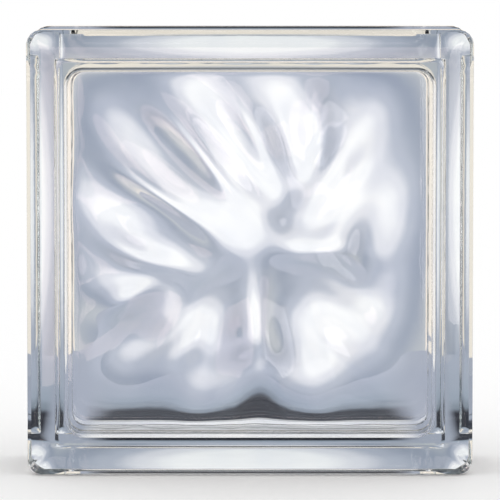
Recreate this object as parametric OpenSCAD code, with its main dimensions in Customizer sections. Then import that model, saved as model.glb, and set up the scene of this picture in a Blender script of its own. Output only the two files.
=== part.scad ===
// Hollow glass block: two pressed halves fused into one piece.
// Millimetres, +Z up, origin under the middle of the block, front face towards -Y.

/* [Overall] */
// Side of the square block
block_side = 190; // [146:1:240]
// Depth through the wall
block_depth = 80; // [76:1:100]

/* [Face] */
// Width of the rolled band round each face
band_w = 12; // [9:0.5:14]
// Radius of the band's roll
roll_r = 20; // [17:0.5:40]
// Width of the rounded shoulder between the band and the flat panel
shoulder = 1.8; // [0.8:0.1:2.4]
// Steepness of the shoulder at its foot, in degrees
shoulder_turn = 55; // [30:1:70]
// Corner radius of the flat panel
panel_r = 4; // [1:0.5:8]

/* [Rim and mortar channel] */
// Corner radius of the rim
rim_r = 6.5; // [5:0.5:10.5]
// Corner radius of the band where its sides meet in a mitre
mitre_r = 0.8; // [0.5:0.1:2]
// Depth from the flat face to the back of the rim
rim_t = 16; // [14:0.5:19]
// Rounding of the rim's back edge
edge_r = 1.2; // [0.5:0.1:2]
// Depth of the mortar channel between the two rims
channel_depth = 4.5; // [4:0.25:6]
// Run of the sloped flank from the rim to the channel floor
flank_run = 3; // [2:0.5:6]
// Fillet between the flank and the channel floor
flank_r = 3; // [1:0.25:3.5]

/* [Eased rim edge] */
// Size of the chamfer on each rim edge
ease = 1.7; // [1:0.1:2.4]
// Size of the chamfer on the corner lugs
corner_ease = 0.6; // [0.2:0.1:0.9]
// Length of the lug at each corner
lug = 11.5; // [11:0.5:18]
// Run-out of the chamfer towards the lug
ease_runout = 3.5; // [2:0.5:10]

/* [Fused seam] */
// Height of the seam bead on the channel floor
seam_h = 0.9; // [0.4:0.1:1.2]
// Width of the seam bead
seam_w = 5; // [3:0.5:8]
// Height of the seam ridge inside the cavity
inner_seam_h = 3; // [1:0.25:4]
// Width of the seam ridge inside the cavity
inner_seam_w = 8; // [5:0.5:12]

/* [Cavity] */
// Glass behind the flat face, between the waves
face_t = 6.5; // [6:0.5:10]
// Outer edge to the cavity wall, beside the face
wall_inset = 16; // [15:0.5:20]
// Widening of the cavity from the face to the seam
draft = 1; // [0:0.25:2]
// Corner radius of the cavity
cavity_r = 8; // [7:0.5:14]
// Fillet between the cavity wall and the inner face
fillet = 4; // [3:0.5:6.5]

/* [Wavy inner faces] */
// Strength of the waves, 1 as pressed
wave = 1; // [0.2:0.1:1.4]

/* [Hidden] */
half = block_side / 2;
mid = block_depth / 2;
rim_back = mid - rim_t;
channel_edge = rim_back - flank_run;
cavity_half = half - wall_inset;
cavity_end = mid - face_t;
shoulder_r = shoulder / sin(shoulder_turn);
shoulder_h = shoulder_r * (1 - cos(shoulder_turn));
crest = band_w + shoulder;

// Steps round each corner, along each cavity side and out across each inner face
corner_steps = 5;
side_steps = 18;
face_steps = 16;
// Steps round each fillet, rounding, shoulder and roll
fillet_steps = 4;
round_steps = 2;
shoulder_steps = 3;
roll_steps = 6;

// Points along one side of an outline, as shares of its straight half
lug_share = (half - lug) / (half - rim_r);
ease_share = (half - lug - ease_runout) / (half - rim_r);
outer_stops = [lug_share, ease_share, -ease_share, -lug_share];
inner_stops = [for (k = [1:side_steps - 1]) 1 - 2 * k / side_steps];

// Chamfer at each point of the outer outline
side_eases = concat([for (k = [0:corner_steps]) corner_ease], [corner_ease, ease, ease, corner_ease]);
eases = [for (q = [0:3]) for (e = side_eases) e];

// Pressed folds: centre across and up, half length, half width, turn in degrees, height.
// Lengths are shares of the cavity's half width and heights are millimetres, below nought for a hollow.
// They fan out above the middle and spread into broader ones below it.
waves = [
  [0.20, 0.60, 0.35, 0.12, -75, 2.0],
  [0.45, 0.45, 0.40, 0.12, 60, 2.4],
  [0.35, 0.70, 0.25, 0.09, 90, -1.8],
  [0.05, 0.60, 0.40, 0.09, -60, -1.4],
  [-0.10, 0.60, 0.45, 0.11, -50, 1.8],
  [-0.25, 0.55, 0.40, 0.09, -50, -1.4],
  [-0.45, 0.50, 0.40, 0.12, -45, 1.8],
  [-0.55, 0.15, 0.40, 0.14, -20, 2.2],
  [-0.30, 0.20, 0.45, 0.12, -35, -1.2],
  [0.65, 0.00, 0.40, 0.14, 80, 1.6],
  [-0.05, -0.30, 0.55, 0.18, 0, 2.0],
  [-0.50, -0.30, 0.35, 0.14, 60, 2.0],
  [-0.20, -0.45, 0.30, 0.12, 75, 2.0],
  [0.05, -0.50, 0.30, 0.10, 90, -1.6],
  [0.25, -0.45, 0.30, 0.12, -70, 2.0],
  [0.45, -0.30, 0.35, 0.14, -40, 2.2]
];

// One wave at a point, in shares of the half width
function swell(w, x, y) =
  let (dx = x - w[0], dy = y - w[1])
  let (along = (dx * cos(w[4]) + dy * sin(w[4])) / w[2])
  let (across = (dy * cos(w[4]) - dx * sin(w[4])) / w[3])
  w[5] * exp(-(along * along + across * across));

// All waves at a point, added from the first to the last
function swells(x, y, i = 0) = i == len(waves) ? 0 : swell(waves[i], x, y) + swells(x, y, i + 1);

// Outline of a rounded square, anticlockwise, with points along each side at the stops
function outline(w, r, stops) = [
  for (q = [0:3])
    let (c = w - r)
    let (turn = 90 * q)
    for (p = [
      for (k = [0:corner_steps])
        [c + r * cos(90 * k / corner_steps), c + r * sin(90 * k / corner_steps)],
      for (s = stops)
        [c * s, w]
    ])
      [p[0] * cos(turn) - p[1] * sin(turn), p[0] * sin(turn) + p[1] * cos(turn)]
];

// Outline at one height
function level(w, r, z, stops) = [for (p = outline(w, r, stops)) [p[0], p[1], z]];

// Fall of an arc of radius r, a distance x from its crown
function fall(x, r) = r - sqrt(r * r - x * x);

// Depth of the front surface at an inset: the band's roll, then the panel's shoulder
function face_depth(d) =
  d < band_w ? mid - shoulder_h - fall(band_w - d, roll_r) : mid - fall(max(crest - d, 0), shoulder_r);

// Outer corner radius at an inset: it closes to the mitre, then opens to the panel's corner
function corner_at(d) =
  d > band_w ? mitre_r + (panel_r - mitre_r) * (d - band_w) / shoulder : max(rim_r - d, mitre_r);

// Arc that rounds the corner b of a section between a and c
function rounded(a, b, c, r, steps) =
  let (u = (a - b) / norm(a - b), v = (c - b) / norm(c - b))
  let (bend = acos(u * v) / 2)
  let (centre = b + (u + v) / norm(u + v) * r / sin(bend))
  let (start = b + u * r / tan(bend) - centre, end = b + v * r / tan(bend) - centre)
  let (span = 180 - 2 * bend)
  [
    for (k = [0:steps])
      centre + (start * sin(span * (1 - k / steps)) + end * sin(span * k / steps)) / sin(span)
  ];

// Ring of the stopped chamfer, on its face edge or on its rim edge
function ease_ring(on_face) = [
  for (i = [0:len(eases) - 1])
    let (e = eases[i])
    let (d = on_face ? e : 0)
    let (p = outline(half - d, corner_at(d), outer_stops)[i])
    [p[0], p[1], face_depth(e) - (e - d)]
];

// One ring of an inner face, s of the way out, lifted by the waves, which die away at the wall.
// The back half is the front one turned over the face's falling diagonal.
function face_ring(w, r, s, z, dir) = [
  for (p = outline(w, r, inner_stops))
    let (x = p[0] * s, y = p[1] * s)
    let (u = (dir > 0 ? x : -y) / cavity_half)
    let (v = (dir > 0 ? y : -x) / cavity_half)
    [x, y, z - dir * wave * swells(u, v) * (1 - pow(s, 6))]
];

// Joins rings of equal length, from the top down, into a closed solid, its ends drawn from a corner
module skin(rings) {
  n = len(rings[0]);
  last = len(rings) - 1;
  from = floor(corner_steps / 2);
  points = [for (ring = rings) for (p = ring) p];
  sides = [
    for (i = [0:last - 1])
      for (j = [0:n - 1])
        let (a = i * n + j, b = i * n + (j + 1) % n)
        for (f = [[a, b, b + n], [a, b + n, a + n]])
          f
  ];
  top = [for (j = [n:-1:1]) (from + j) % n];
  bottom = [for (j = [0:n - 1]) last * n + (from + j) % n];
  polyhedron(points, concat([top], sides, [bottom]));
}

// Joins the rings of the cavity, whose first and last rings close on a point
module closed_skin(first, rings, final) {
  n = len(rings[0]);
  last = len(rings) - 1;
  end = n * (last + 1) + 1;
  points = concat([first], [for (ring = rings) for (p = ring) p], [final]);
  start_faces = [for (j = [0:n - 1]) [0, 1 + (j + 1) % n, 1 + j]];
  sides = [
    for (i = [0:last - 1])
      for (j = [0:n - 1])
        let (a = 1 + i * n + j, b = 1 + i * n + (j + 1) % n)
        for (f = [[a, b, b + n], [a, b + n, a + n]])
          f
  ];
  end_faces = [for (j = [0:n - 1]) [end, 1 + last * n + j, 1 + last * n + (j + 1) % n]];
  polyhedron(points, concat(start_faces, sides, end_faces));
}

// Outer form with the panel, the band, the rims, the mortar channel and the seam bead
module outer_body() {
  shoulder_insets = [for (k = [0:shoulder_steps]) crest - shoulder_r * sin(shoulder_turn * k / shoulder_steps)];
  roll_insets = [for (k = [1:roll_steps - 1]) band_w + (ease - band_w) * k / roll_steps];
  face_rings = [
    for (d = concat(shoulder_insets, roll_insets))
      level(half - d, corner_at(d), face_depth(d), outer_stops)
  ];
  land = [0, rim_back + rim_t / 4];
  rim_edge = [0, rim_back];
  flank_foot = [channel_depth, channel_edge];
  seam_foot = [channel_depth, seam_w / 2];
  seam_top = [channel_depth - seam_h, seam_w / 6];
  channel = concat(
    rounded(land, rim_edge, flank_foot, edge_r, round_steps),
    rounded(rim_edge, flank_foot, seam_foot, flank_r, round_steps),
    [seam_foot, seam_top]
  );
  channel_rings = [for (p = channel) level(half - p[0], corner_at(p[0]), p[1], outer_stops)];
  front = concat(face_rings, [ease_ring(true), ease_ring(false)], channel_rings);
  back = [for (i = [len(front) - 1:-1:0]) [for (p = front[i]) [p[0], p[1], -p[2]]]];
  skin(concat(front, back));
}

// Sealed hollow: wavy inner faces, fillets, drafted walls and the ridge of the seam
module cavity() {
  inner_w = cavity_half - fillet;
  inner_r = cavity_r - fillet;
  seam_half = cavity_half + draft;
  front_face = [for (k = [1:face_steps]) face_ring(inner_w, inner_r, k / face_steps, cavity_end, 1)];
  front_fillet = [
    for (k = [1:fillet_steps])
      let (a = 90 * k / fillet_steps)
      level(inner_w + fillet * sin(a), inner_r + fillet * sin(a), cavity_end - fillet * (1 - cos(a)), inner_stops)
  ];
  front_seam = [
    for (s = [[0, inner_seam_w / 2], [inner_seam_h, inner_seam_w / 8]])
      level(seam_half - s[0], cavity_r + draft - s[0], s[1], inner_stops)
  ];
  front_walls = concat(front_fillet, front_seam);
  back_walls = [for (i = [len(front_walls) - 1:-1:0]) [for (p = front_walls[i]) [p[0], p[1], -p[2]]]];
  back_face = [for (k = [face_steps:-1:1]) face_ring(inner_w, inner_r, k / face_steps, -cavity_end, -1)];
  middle = wave * swells(0, 0);
  closed_skin(
    [0, 0, cavity_end - middle],
    concat(front_face, front_walls, back_walls, back_face),
    [0, 0, middle - cavity_end]
  );
}

// The whole block, one piece of fused glass
module glass_block() {
  color([0.80, 0.87, 0.90, 0.35])
    translate([0, 0, half])
      rotate([90, 0, 0])
        difference() {
          outer_body();
          cavity();
        }
}

glass_block();
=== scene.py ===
import math
import bmesh
import bpy
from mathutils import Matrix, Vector


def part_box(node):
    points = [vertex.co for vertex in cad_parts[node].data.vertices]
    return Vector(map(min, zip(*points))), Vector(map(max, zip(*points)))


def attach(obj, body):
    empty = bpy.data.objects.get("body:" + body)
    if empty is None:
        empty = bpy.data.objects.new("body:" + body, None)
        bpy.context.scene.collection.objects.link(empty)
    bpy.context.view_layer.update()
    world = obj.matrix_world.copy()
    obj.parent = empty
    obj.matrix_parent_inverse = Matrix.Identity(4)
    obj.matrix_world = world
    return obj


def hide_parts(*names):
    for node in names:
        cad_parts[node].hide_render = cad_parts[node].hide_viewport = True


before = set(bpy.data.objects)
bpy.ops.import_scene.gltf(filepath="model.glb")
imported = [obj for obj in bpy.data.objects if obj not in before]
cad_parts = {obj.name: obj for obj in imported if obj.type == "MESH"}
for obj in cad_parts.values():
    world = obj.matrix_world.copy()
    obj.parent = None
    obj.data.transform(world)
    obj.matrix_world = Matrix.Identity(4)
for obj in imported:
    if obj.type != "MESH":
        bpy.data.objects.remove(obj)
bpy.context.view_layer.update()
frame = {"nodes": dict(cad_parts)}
low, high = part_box("glass_block")
scene = bpy.context.scene
mm = 0.001
tiny = 1e-4  # millimetres, keeps a corner's radius above nought
filletLimit = 0.45  # share of a section's side that one fillet may take
print("frame loaded:", ", ".join(frame["nodes"]))


def hexColour(code):
    parts = [int(code[i:i + 2], 16) / 255 for i in (1, 3, 5)]
    linear = [c / 12.92 if c <= 0.04045 else ((c + 0.055) / 1.055) ** 2.4 for c in parts]
    return (*linear, 1.0)


def addNode(tree, kind, *links, stops=None, **settings):
    # links go to the inputs in their order, or by name or number from one dictionary
    # stops are a colour ramp's first and last tones and then those between, with eased steps
    made = tree.nodes.new(kind)
    for name, value in settings.items():
        setattr(made, name, value)
    wanted = links[0] if links and isinstance(links[0], dict) else dict(enumerate(links))
    for key, value in wanted.items():
        if isinstance(value, bpy.types.NodeSocket):
            tree.links.new(value, made.inputs[key])
        else:
            made.inputs[key].default_value = value
    for i, (at, code) in enumerate(stops or []):
        elements = made.color_ramp.elements
        element = elements[i] if i < 2 else elements.new(at)
        element.position = at
        element.color = hexColour(code)
    if stops:
        made.color_ramp.interpolation = "EASE"
    return made


# the block's own sizes in millimetres; insets run in from the rim, depths out from the middle
# seamTopPart and innerTopPart divide a seam's width into half the width of its top
block = {
    "half": (high[0] - low[0]) / 2 / mm, "mid": (high[1] - low[1]) / 2 / mm,
    "bandWidth": 12.0, "rollRadius": 20.0, "shoulder": 1.8, "shoulderTurn": 55.0, "panelInset": 15.5,
    "quirkRound": 0.25, "rimRadius": 6.5, "mitreRadius": 0.8, "panelRadius": 4.0,
    "rimBack": 24.0, "rimRound": 1.2, "channelDepth": 4.5, "flankRun": 3.0, "flankRound": 3.0,
    "ease": 1.7, "easeAtCorner": 0.6, "easeRound": 0.6, "lug": 11.5, "runout": 3.5,
    "seamHeight": 0.9, "seamWidth": 5.0, "seamTopPart": 6, "seamFootRound": 1.0, "seamTopRound": 0.8,
    "innerSeam": 3.0, "innerSeamWidth": 8.0, "innerTopPart": 8, "innerFootRound": 2.5, "innerTopRound": 1.4,
    "seamWobble": 1.2, "wobbleSize": 11.0, "wobbleDetail": 2.0,
    "faceGlass": 6.5, "wallInset": 16.0, "draft": 1.0, "cavityRadius": 8.0, "fillet": 4.0,
    "waveHeight": 1.0, "waveSeed": 3.0, "fadePower": 6, "cornerPower": 3,
    "steps": 42, "arcSteps": 6, "cavityArcSteps": 9, "shoulderSteps": 8, "rollSteps": 14,
}

# pressed folds: centre across and up, half length and half width as shares of the cavity's half width,
# turn in degrees and height in millimetres
waves = [
    (0.20, 0.60, 0.35, 0.12, -75, 2.0),
    (0.45, 0.45, 0.40, 0.12, 60, 2.4),
    (0.35, 0.70, 0.25, 0.09, 90, -1.8),
    (0.05, 0.60, 0.40, 0.09, -60, -1.4),
    (-0.10, 0.60, 0.45, 0.11, -50, 1.8),
    (-0.25, 0.55, 0.40, 0.09, -50, -1.4),
    (-0.45, 0.50, 0.40, 0.12, -45, 1.8),
    (-0.55, 0.15, 0.40, 0.14, -20, 2.2),
    (-0.30, 0.20, 0.45, 0.12, -35, -1.2),
    (0.65, 0.00, 0.40, 0.14, 80, 1.6),
    (-0.05, -0.30, 0.55, 0.18, 0, 2.0),
    (-0.50, -0.30, 0.35, 0.14, 60, 2.0),
    (-0.20, -0.45, 0.30, 0.12, 75, 2.0),
    (0.05, -0.50, 0.30, 0.10, 90, -1.6),
    (0.25, -0.45, 0.30, 0.12, -70, 2.0),
    (0.45, -0.30, 0.35, 0.14, -40, 2.2),
]


def roundedPoint(w, r, side, t):
    # point on one side of a rounded square, t from -1 to 1 by equal lengths of outline
    c = w - r
    quarter = r * math.pi / 4
    along = (t + 1) * (c + quarter)
    if along < quarter:
        a = math.pi / 4 - along / r
        p = (w - r * (1 - math.cos(a)), -c - r * math.sin(a))
    elif along > quarter + 2 * c:
        a = (along - quarter - 2 * c) / r
        p = (w - r * (1 - math.cos(a)), c + r * math.sin(a))
    else:
        p = (w, along - quarter - c)
    for i in range(side):
        p = (-p[1], p[0])
    return p


def roundedSection(points, steps):
    # points are inset, depth and the fillet's radius; each corner becomes a short arc
    out = []
    for i, (x, y, f) in enumerate(points):
        if i == 0 or i == len(points) - 1 or f <= 0:
            out.append((x, y))
            continue
        here = Vector((x, y))
        a = Vector(points[i - 1][:2]) - here
        b = Vector(points[i + 1][:2]) - here
        half = a.angle(b) / 2
        reach = min(f / math.tan(half), filletLimit * a.length, filletLimit * b.length)
        f = reach * math.tan(half)
        mid = here + (a.normalized() + b.normalized()).normalized() * (f / math.sin(half))
        start = here + a.normalized() * reach - mid
        end = here + b.normalized() * reach - mid
        span = start.angle(end)
        for k in range(steps + 1):
            s = k / steps
            v = (start * math.sin((1 - s) * span) + end * math.sin(s * span)) / math.sin(span)
            out.append(tuple(mid + v))
    return out


def easeAt(b, t):
    # chamfer along the side, running out before the corner lugs
    x = abs(t) * (b["half"] - b["rimRadius"] * (1 - math.pi / 4))
    s = min(max((b["half"] - b["lug"] - x) / b["runout"], 0), 1)
    return b["easeAtCorner"] + (b["ease"] - b["easeAtCorner"]) * s * s * (3 - 2 * s)


def faceDepth(b, d):
    # the front surface: a convex roll from the rim to the quirk, then the panel's rounded shoulder
    turn = math.radians(b["shoulderTurn"])
    radius = b["shoulder"] / math.sin(turn)
    if d >= b["bandWidth"]:
        a = math.asin(max(0, b["bandWidth"] + b["shoulder"] - d) / radius)
        return b["mid"] - radius * (1 - math.cos(a))
    foot = b["mid"] - radius * (1 - math.cos(turn))
    a = math.asin((b["bandWidth"] - d) / b["rollRadius"])
    return foot - b["rollRadius"] * (1 - math.cos(a))


def outerCorner(b, d):
    # the corners close to a mitre on the band and open again on the flat panel
    if d > b["bandWidth"]:
        opened = min((d - b["bandWidth"]) / b["shoulder"], 1)
        return b["mitreRadius"] + (b["panelRadius"] - b["mitreRadius"]) * opened
    return max(b["rimRadius"] - d, b["mitreRadius"])


def cavityCorner(b, d):
    return b["cavityRadius"] + b["wallInset"] - d


def outerSection(b, t):
    e = easeAt(b, t)
    quirk = b["bandWidth"]
    crest = quirk + b["shoulder"]
    shoulderSteps, rollSteps = b["shoulderSteps"], b["rollSteps"]
    stops = [crest + (quirk - crest) * k / shoulderSteps for k in range(shoulderSteps + 1)]
    stops += [quirk + (e - quirk) * k / rollSteps for k in range(1, rollSteps)]
    front = [(b["panelInset"], b["mid"], 0)]
    front += [(d, faceDepth(b, d), b["quirkRound"] if d == quirk else 0) for d in stops]
    front += [
        (e, faceDepth(b, e), b["easeRound"]),
        (0, faceDepth(b, e) - e, b["easeRound"]),
        (0, b["rimBack"], b["rimRound"]),
        (b["channelDepth"], b["rimBack"] - b["flankRun"], b["flankRound"]),
        (b["channelDepth"], b["seamWidth"] / 2, b["seamFootRound"]),
        (b["channelDepth"] - b["seamHeight"], b["seamWidth"] / b["seamTopPart"], b["seamTopRound"]),
    ]
    back = [(d, -y, f) for d, y, f in reversed(front)]
    return roundedSection(front + back, b["arcSteps"])


def cavitySection(b, t):
    # the same all along a side, so t goes unused
    end = b["mid"] - b["faceGlass"]
    wall = b["wallInset"]
    foot = wall - b["draft"]
    front = [
        (wall + b["fillet"], end, 0),
        (wall, end, b["fillet"]),
        (foot, b["innerSeamWidth"] / 2, b["innerFootRound"]),
        (foot + b["innerSeam"], b["innerSeamWidth"] / b["innerTopPart"], b["innerTopRound"]),
    ]
    back = [(d, -y, f) for d, y, f in reversed(front)]
    return roundedSection(front + back, b["cavityArcSteps"])


def addShell(verts, faces, marks, b, sectionAt, cornerAt, isCavity):
    # a square-grid cap, the lofted section, and the other cap; +Y of the world is the back
    n = b["steps"]
    columns = [(side, -1 + j / n) for side in range(4) for j in range(2 * n)]
    sections = [sectionAt(b, t) for side, t in columns]
    count = len(sections[0])
    base = len(verts)

    def put(p, depth, mark):
        verts.append((p[0] * mm, -depth * mm, (p[1] + b["half"]) * mm))
        marks.append(mark)

    for i in range(count):
        for c, (side, t) in enumerate(columns):
            d, depth = sections[c][i]
            seam = max(0, 1 - abs(depth) / b["innerSeamWidth"])
            put(roundedPoint(b["half"] - d, cornerAt(b, d), side, t), depth, (0, 0, seam))
    total = len(columns)
    for i in range(count - 1):
        for c in range(total):
            a, e = base + i * total + c, base + i * total + (c + 1) % total
            quad = (a, e, e + total, a + total)
            faces.append(quad if isCavity else quad[::-1])

    for row, sign in ((0, 1), (count - 1, -1)):
        d, depth = sections[0][row]
        w, r = b["half"] - d, cornerAt(b, d)
        grid = {}
        for k in range(n):
            share = k / n
            ring = [(0, 0)] if k == 0 else [(side, -1 + j / k) for side in range(4) for j in range(2 * k)]
            for q, (side, t) in enumerate(ring):
                corner = max(r * share ** b["cornerPower"], tiny)
                p = roundedPoint(w * share, corner, side, t) if k else (0, 0)
                grid[(k, q)] = len(verts)
                put(p, depth, (sign, 1 - share ** b["fadePower"], 0))
        for q in range(total):
            grid[(n, q)] = base + row * total + q

        def at(i, j):
            # grid place to the ring that holds it
            k = max(abs(i), abs(j))
            if k == 0:
                return grid[(0, 0)]
            if i == k and j < k:
                q = j + k
            elif j == k and i > -k:
                q = 2 * k + (k - i)
            elif i == -k and j > -k:
                q = 4 * k + (k - j)
            else:
                q = 6 * k + (i + k)
            return grid[(k, q % (8 * k))]

        for i in range(-n, n):
            for j in range(-n, n):
                quad = (at(i, j), at(i + 1, j), at(i + 1, j + 1), at(i, j + 1))
                faces.append(quad if (sign > 0) != isCavity else quad[::-1])


def waveTree(b):
    # lifts the inner faces by the pressed folds, added one after another, and wobbles the fused seam
    tree = bpy.data.node_groups.new("pressedWaves", "GeometryNodeTree")
    for name, kind in (("Geometry", "Geometry"), ("Half Width", "Float"), ("Wave Height", "Float"),
                       ("Seam Wobble", "Float"), ("Seed", "Float"), ("Glass", "Material")):
        tree.interface.new_socket(name, in_out="INPUT", socket_type="NodeSocket" + kind)
    tree.interface.new_socket("Geometry", in_out="OUTPUT", socket_type="NodeSocketGeometry")
    start = addNode(tree, "NodeGroupInput").outputs
    place = addNode(tree, "GeometryNodeInputPosition").outputs[0]
    side = addNode(tree, "GeometryNodeInputNamedAttribute", {"Name": "waveSide"}).outputs[0]
    fade = addNode(tree, "GeometryNodeInputNamedAttribute", {"Name": "waveFade"}).outputs[0]
    seam = addNode(tree, "GeometryNodeInputNamedAttribute", {"Name": "seamMask"}).outputs[0]

    # shares of the half width; the back half is the front one turned over the face's falling diagonal
    middle = (0, 0, b["half"] * mm)
    fromMiddle = addNode(tree, "ShaderNodeVectorMath", place, middle, operation="SUBTRACT").outputs[0]
    xyz = addNode(tree, "ShaderNodeSeparateXYZ", fromMiddle).outputs
    front = addNode(tree, "ShaderNodeCombineXYZ", xyz[0], xyz[2]).outputs[0]
    swapped = addNode(tree, "ShaderNodeCombineXYZ", xyz[2], xyz[0]).outputs[0]
    back = addNode(tree, "ShaderNodeVectorMath", {0: swapped, "Scale": -1.0}, operation="SCALE").outputs[0]
    isFront = addNode(tree, "ShaderNodeMath", side, 0.0, operation="GREATER_THAN").outputs[0]
    flat = addNode(tree, "ShaderNodeMix", {0: isFront, 4: back, 5: front}, data_type="VECTOR").outputs[1]
    per = addNode(tree, "ShaderNodeMath", 1.0, start["Half Width"], operation="DIVIDE").outputs[0]
    flat = addNode(tree, "ShaderNodeVectorMath", {0: flat, "Scale": per}, operation="SCALE").outputs[0]

    total = 0.0
    for x, y, length, width, turn, height in waves:
        spin = (0, 0, math.radians(turn))
        own = addNode(tree, "FunctionNodeCombineTransform", (x, y, 0), spin, (length, width, 1)).outputs[0]
        undo = addNode(tree, "FunctionNodeInvertMatrix", own).outputs[0]
        local = addNode(tree, "FunctionNodeTransformPoint", flat, undo).outputs[0]
        square = addNode(tree, "ShaderNodeVectorMath", local, local,
                         operation="DOT_PRODUCT").outputs["Value"]
        minus = addNode(tree, "ShaderNodeMath", square, -1.0, operation="MULTIPLY").outputs[0]
        bell = addNode(tree, "ShaderNodeMath", minus, operation="EXPONENT").outputs[0]
        total = addNode(tree, "ShaderNodeMath", bell, height * mm, total,
                        operation="MULTIPLY_ADD").outputs[0]
    lift = addNode(tree, "ShaderNodeMath", total, fade, operation="MULTIPLY").outputs[0]
    lift = addNode(tree, "ShaderNodeMath", lift, side, operation="MULTIPLY").outputs[0]
    lift = addNode(tree, "ShaderNodeMath", lift, start["Wave Height"], operation="MULTIPLY").outputs[0]
    waveMove = addNode(tree, "ShaderNodeCombineXYZ", {1: lift}).outputs[0]

    # the seam sets unevenly: a slow noise about its middle value moves it in and out and to and fro
    noise = addNode(tree, "ShaderNodeTexNoise",
                    {"Vector": place, "W": start["Seed"], "Scale": 1 / (b["wobbleSize"] * mm),
                     "Detail": b["wobbleDetail"]},
                    noise_dimensions="4D").outputs["Color"]
    noise = addNode(tree, "ShaderNodeVectorMath", noise, (0.5, 0.5, 0.5), operation="SUBTRACT").outputs[0]
    amount = addNode(tree, "ShaderNodeMath", seam, start["Seam Wobble"], operation="MULTIPLY").outputs[0]
    seamMove = addNode(tree, "ShaderNodeVectorMath", {0: noise, "Scale": amount},
                       operation="SCALE").outputs[0]
    move = addNode(tree, "ShaderNodeVectorMath", waveMove, seamMove, operation="ADD").outputs[0]
    moved = addNode(tree, "GeometryNodeSetPosition",
                    {"Geometry": start["Geometry"], "Offset": move}).outputs[0]
    real = addNode(tree, "GeometryNodeRealizeInstances", moved).outputs[0]
    dressed = addNode(tree, "GeometryNodeSetMaterial", {"Geometry": real, "Material": start["Glass"]})
    addNode(tree, "NodeGroupOutput", dressed.outputs[0])
    return tree


# pressed soda-lime glass: sizes of its marks in millimetres
glass = {
    "ior": 1.52, "tint": "#A4B4B8", "density": 5.0,
    "streaks": [(0.35, "#FFFFFF"), (0.7, "#F7F8FB")], "streakSize": 28.0, "streakDetail": 2.0,
    "rippleSize": 7.0, "rippleHeight": 0.012, "rippleDetail": 1.0,
    "polish": 0.0, "seamRough": 0.12, "dragSize": 3.0, "dragDetail": 3.0,
}


def makeGlass(g):
    # pressed and fire polished: clear and glossy, with a slight ripple, and duller along the fused seam
    mat = bpy.data.materials.new("pressed soda-lime glass")
    mat.use_nodes = True
    tree = mat.node_tree
    shader = tree.nodes["Principled BSDF"]
    shader.inputs["Transmission Weight"].default_value = 1.0
    shader.inputs["IOR"].default_value = g["ior"]
    spot = addNode(tree, "ShaderNodeTexCoord").outputs["Object"]

    # faint streaks left by the gob of glass as it was pressed
    streak = addNode(tree, "ShaderNodeTexNoise",
                     {"Vector": spot, "Scale": 1 / (g["streakSize"] * mm),
                      "Detail": g["streakDetail"]}).outputs[0]
    colour = addNode(tree, "ShaderNodeValToRGB", streak, stops=g["streaks"])
    tree.links.new(colour.outputs[0], shader.inputs["Base Color"])

    # fire polish leaves the faces smooth, and the seam keeps the drag of its tools
    seam = addNode(tree, "ShaderNodeAttribute", attribute_name="seamMask").outputs["Fac"]
    drag = addNode(tree, "ShaderNodeTexNoise",
                   {"Vector": spot, "Scale": 1 / (g["dragSize"] * mm),
                    "Detail": g["dragDetail"]}).outputs[0]
    dull = addNode(tree, "ShaderNodeMath", seam, drag, operation="MULTIPLY").outputs[0]
    rough = addNode(tree, "ShaderNodeMath", dull, g["seamRough"], g["polish"],
                    operation="MULTIPLY_ADD").outputs[0]
    tree.links.new(rough, shader.inputs["Roughness"])

    ripple = addNode(tree, "ShaderNodeTexNoise",
                     {"Vector": spot, "Scale": 1 / (g["rippleSize"] * mm),
                      "Detail": g["rippleDetail"]}).outputs[0]
    bump = addNode(tree, "ShaderNodeBump",
                   {"Height": ripple, "Strength": 1.0, "Distance": g["rippleHeight"] * mm})
    tree.links.new(bump.outputs[0], shader.inputs["Normal"])

    absorb = addNode(tree, "ShaderNodeVolumeAbsorption", hexColour(g["tint"]), g["density"])
    tree.links.new(absorb.outputs[0], tree.nodes["Material Output"].inputs["Volume"])
    return mat


def makeBlock(b):
    # both shells as one mesh, its marks as attributes for the nodes and the glass
    verts, faces, marks = [], [], []
    addShell(verts, faces, marks, b, outerSection, outerCorner, False)
    outerCount = len(verts)
    addShell(verts, faces, marks, b, cavitySection, cavityCorner, True)
    mesh = bpy.data.meshes.new("glassBlockBase")
    mesh.from_pydata(verts, [], faces)
    for slot, name in enumerate(("waveSide", "waveFade", "seamMask")):
        layer = mesh.attributes.new(name, "FLOAT", "POINT")
        for i, mark in enumerate(marks):
            layer.data[i].value = mark[slot] if i >= outerCount or name == "seamMask" else 0.0
    raw = bpy.data.objects.new("glassBlockBase", mesh)
    scene.collection.objects.link(raw)
    tree = waveTree(b)
    mod = raw.modifiers.new("pressedWaves", "NODES")
    mod.node_group = tree
    wanted = {"Half Width": (b["half"] - b["wallInset"]) * mm, "Wave Height": b["waveHeight"],
              "Seam Wobble": b["seamWobble"] * mm, "Seed": b["waveSeed"], "Glass": makeGlass(glass)}
    for item in tree.interface.items_tree:
        if item.in_out == "INPUT" and item.name in wanted:
            mod[item.identifier] = wanted[item.name]
    graph = bpy.context.evaluated_depsgraph_get()
    done = bpy.data.meshes.new_from_object(raw.evaluated_get(graph), depsgraph=graph)
    raw.modifiers.clear()
    bpy.data.objects.remove(raw)
    done.name = "glassBlock"
    for poly in done.polygons:
        poly.use_smooth = True
    piece = bpy.data.objects.new("glassBlock", done)
    scene.collection.objects.link(piece)
    return piece


piece = makeBlock(block)
check = bmesh.new()
check.from_mesh(piece.data)
print("glass volume cm3", round(check.calc_volume(signed=True) * 1e6, 1), "faces", len(check.faces),
      "open edges", sum(not e.is_manifold for e in check.edges))
check.free()
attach(piece, "root")
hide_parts("glass_block")
print("glass block made")

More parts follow.
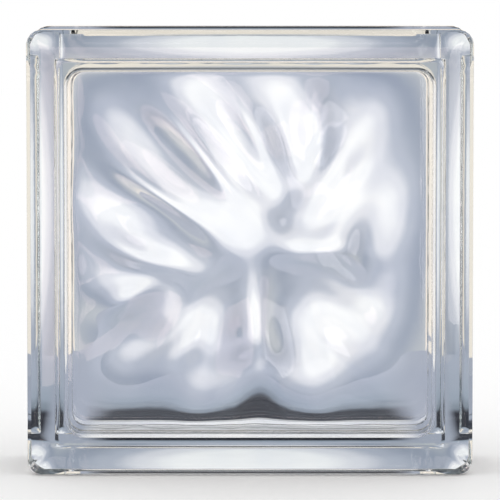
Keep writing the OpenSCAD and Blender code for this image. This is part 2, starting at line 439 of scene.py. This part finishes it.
# the studio in metres: white paper below, which glows with painted light and shade for the glass, and a
# tent of lit cloth that only the glass sees
# cool and warm are tones by distance from the middle of a wall, gaps by turn from it, up by height
studio = {
    "reach": 0.50, "height": 1.00, "glowHeight": 0.08, "strength": 1.1,
    "cool": [(0.0, "#FFFFFF"), (1.0, "#F4EEE4"), (0.08, "#FFFFFF"), (0.12, "#E4E5EB"), (0.155, "#B7BDCA"),
             (0.20, "#9DA5B4"), (0.25, "#BCC0C4"), (0.31, "#FFF4E4")],
    "warm": [(0.0, "#FFFFFF"), (1.0, "#8A8884"), (0.30, "#FFFCF6"), (0.55, "#FFF8EE"), (0.8, "#D8D4CC")],
    "gaps": [(0.0, "#FFFFFF"), (0.5, "#FFFFFF"), (0.285, "#FFFFFF"), (0.32, "#1A1E22"), (0.355, "#1A1E22"),
             (0.39, "#FFFFFF")],
    "up": [(0.0, "#FFFFFF"), (1.0, "#7C828A"), (0.36, "#FFFFFF"), (0.5, "#8C949E"), (0.62, "#7C828A")],
    # floor, floorReach, floorEdge and floorPale paint light and shade on the floor for the glass: white
    # under the block, dark painted shade in front of it and behind, pale past its sides
    "floor": [(0.0, "#FFFFFF"), (1.0, "#BCC2D0"), (0.07, "#FFFFFF"), (0.12, "#3A3B42"), (0.27, "#303138"),
              (0.44, "#2C2D35"), (0.50, "#929CA8"), (0.58, "#ACB6C4"), (0.7, "#B4BCCA")],
    "floorReach": 0.50, "floorEdge": (0.064, 0.082), "floorPale": "#B0B6C4",
    "floorHalf": 4.0, "floorDrop": 0.0002, "paper": "#FFFFFF", "sky": "#FFFFFF",
}


def wallColour(tree, s):
    # cool walls in front and behind, warm ones at the sides, a dark gap beside each corner
    spot = addNode(tree, "ShaderNodeTexCoord").outputs["Object"]
    xyz = addNode(tree, "ShaderNodeSeparateXYZ", spot).outputs
    turn = addNode(tree, "ShaderNodeMath", xyz[0], xyz[1], operation="ARCTAN2").outputs[0]
    turn = addNode(tree, "ShaderNodeMath", turn, 2 / math.pi, operation="MULTIPLY").outputs[0]  # quarters
    share = addNode(tree, "ShaderNodeMath", turn, 0.5, operation="PINGPONG").outputs[0]
    x = addNode(tree, "ShaderNodeMath", xyz[0], operation="ABSOLUTE").outputs[0]
    y = addNode(tree, "ShaderNodeMath", xyz[1], operation="ABSOLUTE").outputs[0]
    near = addNode(tree, "ShaderNodeMath", x, y, operation="MINIMUM").outputs[0]
    up = addNode(tree, "ShaderNodeMath", xyz[2], s["glowHeight"], operation="SUBTRACT").outputs[0]
    flat = addNode(tree, "ShaderNodeCombineXYZ", near, up).outputs[0]
    away = addNode(tree, "ShaderNodeVectorMath", flat, operation="LENGTH").outputs["Value"]
    away = addNode(tree, "ShaderNodeMath", away, s["reach"], operation="DIVIDE").outputs[0]
    side = addNode(tree, "ShaderNodeMath", x, y, operation="GREATER_THAN").outputs[0]
    rise = addNode(tree, "ShaderNodeMath", xyz[2], s["height"], operation="DIVIDE").outputs[0]
    cool = addNode(tree, "ShaderNodeValToRGB", away, stops=s["cool"]).outputs[0]
    warm = addNode(tree, "ShaderNodeValToRGB", away, stops=s["warm"]).outputs[0]
    gaps = addNode(tree, "ShaderNodeValToRGB", share, stops=s["gaps"]).outputs[0]
    dark = addNode(tree, "ShaderNodeValToRGB", rise, stops=s["up"]).outputs[0]
    panel = addNode(tree, "ShaderNodeMix", {0: side, 6: cool, 7: warm}, data_type="RGBA").outputs[2]
    lit = addNode(tree, "ShaderNodeMix", {0: 1.0, 6: panel, 7: dark},
                  data_type="RGBA", blend_type="MULTIPLY").outputs[2]
    return addNode(tree, "ShaderNodeMix", {0: 1.0, 6: lit, 7: gaps},
                   data_type="RGBA", blend_type="MULTIPLY").outputs[2]


def paintedFloorShade(tree, s):
    # painted light and shade on the floor for the glass: white under the block, dark painted shade in front
    # of it and behind, pale past its sides
    spot = addNode(tree, "ShaderNodeTexCoord").outputs["Object"]
    flat = addNode(tree, "ShaderNodeVectorMath", spot, operation="ABSOLUTE").outputs[0]
    xyz = addNode(tree, "ShaderNodeSeparateXYZ", flat).outputs
    share = addNode(tree, "ShaderNodeMath", xyz[1], s["floorReach"], operation="DIVIDE").outputs[0]
    dark = addNode(tree, "ShaderNodeValToRGB", share, stops=s["floor"]).outputs[0]
    past = addNode(tree, "ShaderNodeMapRange", {0: xyz[0], 1: s["floorEdge"][0], 2: s["floorEdge"][1]},
                   interpolation_type="SMOOTHSTEP").outputs[0]
    return addNode(tree, "ShaderNodeMix", {0: past, 6: dark, 7: hexColour(s["floorPale"])},
                   data_type="RGBA").outputs[2]


def makeFloor(s):
    # the camera sees white paper, and the glass sees the floor glow with painted light and painted shade
    h = s["floorHalf"]
    mesh = bpy.data.meshes.new("floor")
    mesh.from_pydata([(-h, -h, 0), (h, -h, 0), (h, h, 0), (-h, h, 0)], [], [(0, 1, 2, 3)])
    floor = bpy.data.objects.new("floor", mesh)
    scene.collection.objects.link(floor)
    floor.location.z = -s["floorDrop"]  # just clear of the rims
    mat = bpy.data.materials.new("white paper sweep and painted floor shade")
    mat.use_nodes = True
    tree = mat.node_tree
    paper = tree.nodes["Principled BSDF"]
    paper.inputs["Base Color"].default_value = hexColour(s["paper"])
    paper.inputs["Roughness"].default_value = 1.0
    paper.inputs["Specular IOR Level"].default_value = 0.0
    # rays from the glass get the painted light and shade as a glow, and the other rays get the lit paper
    rays = addNode(tree, "ShaderNodeLightPath").outputs
    seen = addNode(tree, "ShaderNodeMath", rays["Is Transmission Ray"], rays["Is Glossy Ray"],
                   operation="MAXIMUM").outputs[0]
    glow = addNode(tree, "ShaderNodeEmission", paintedFloorShade(tree, s), 1.0).outputs[0]
    both = addNode(tree, "ShaderNodeMixShader", seen, paper.outputs[0], glow).outputs[0]
    tree.links.new(both, tree.nodes["Material Output"].inputs[0])
    mesh.materials.append(mat)


def makeGlow(name, verts, faces, colourOf, strength):
    # a lit sheet that the camera, the floor and the shadows don't see
    mesh = bpy.data.meshes.new(name)
    mesh.from_pydata(verts, [], faces)
    sheet = bpy.data.objects.new(name, mesh)
    scene.collection.objects.link(sheet)
    mat = bpy.data.materials.new(name)
    mat.use_nodes = True
    tree = mat.node_tree
    tree.nodes.clear()
    light = addNode(tree, "ShaderNodeEmission", colourOf(tree), strength).outputs[0]
    addNode(tree, "ShaderNodeOutputMaterial", light)
    mesh.materials.append(mat)
    sheet.visible_camera = False
    sheet.visible_diffuse = False
    sheet.visible_shadow = False


def makeTent(s):
    # four walls and a ceiling
    w, h = s["reach"], s["height"]
    corners = [(-w, -w), (w, -w), (w, w), (-w, w)]
    verts = [(x, y, z) for z in (0.0, h) for x, y in corners]
    faces = [(i, (i + 1) % 4, 4 + (i + 1) % 4, 4 + i) for i in range(4)] + [(4, 5, 6, 7)]
    makeGlow("lightTent", verts, faces, lambda tree: wallColour(tree, s), s["strength"])


makeFloor(studio)
makeTent(studio)

# softboxes in metres, upright and facing the block's axis; size is width and height
softboxes = {
    "softboxLeft": {
        "middle": (-0.17, -0.285, 0.18), "size": (0.15, 0.34), "colour": "#FFE8E2", "strength": 3.2,
    },
    "softboxTop": {
        "middle": (0.0, -0.30, 0.245), "size": (0.20, 0.12), "colour": "#FFEDE8", "strength": 3.0,
    },
    "softboxRight": {
        "middle": (0.19, -0.285, 0.18), "size": (0.14, 0.28), "colour": "#FFF6F0", "strength": 4.0,
    },
}


def makeSoftbox(name, s):
    middle = Vector(s["middle"])
    across = Vector((middle.y, -middle.x, 0)).normalized() * s["size"][0] / 2
    up = Vector((0, 0, s["size"][1] / 2))
    verts = [middle + across * i + up * j for i, j in ((-1, -1), (1, -1), (1, 1), (-1, 1))]
    makeGlow(name, verts, [(0, 1, 2, 3)], lambda tree: hexColour(s["colour"]), s["strength"])


for name, s in softboxes.items():
    makeSoftbox(name, s)
world = bpy.data.worlds.new("studio")
scene.world = world
world.use_nodes = True
sky = world.node_tree.nodes["Background"]
sky.inputs[0].default_value = hexColour(studio["sky"])
sky.inputs[1].default_value = 1.0
print("studio lit")

# camera in metres, degrees and millimetres of lens; rays bounce often enough to cross both halves
view = {
    "distance": 1.9, "elevation": 4.4, "aim": (0, 0, 0.0937), "lens": 315.5, "sensor": 36.0, "far": 20.0,
    "glassBounces": 32, "mirrorBounces": 16,
}
lens = bpy.data.cameras.new("camera")
lens.lens = view["lens"]
lens.sensor_width = view["sensor"]
lens.clip_end = view["far"]
camera = bpy.data.objects.new("camera", lens)
scene.collection.objects.link(camera)
rise = math.radians(view["elevation"])
aim = Vector(view["aim"])
camera.location = aim + Vector((0, -math.cos(rise), math.sin(rise))) * view["distance"]
camera.rotation_euler = (aim - camera.location).to_track_quat("-Z", "Y").to_euler()
scene.camera = camera
scene.view_settings.view_transform = "Standard"
scene.cycles.max_bounces = view["glassBounces"]
scene.cycles.transmission_bounces = view["glassBounces"]
scene.cycles.glossy_bounces = view["mirrorBounces"]
print("camera set")

bpy.context.view_layer.update()
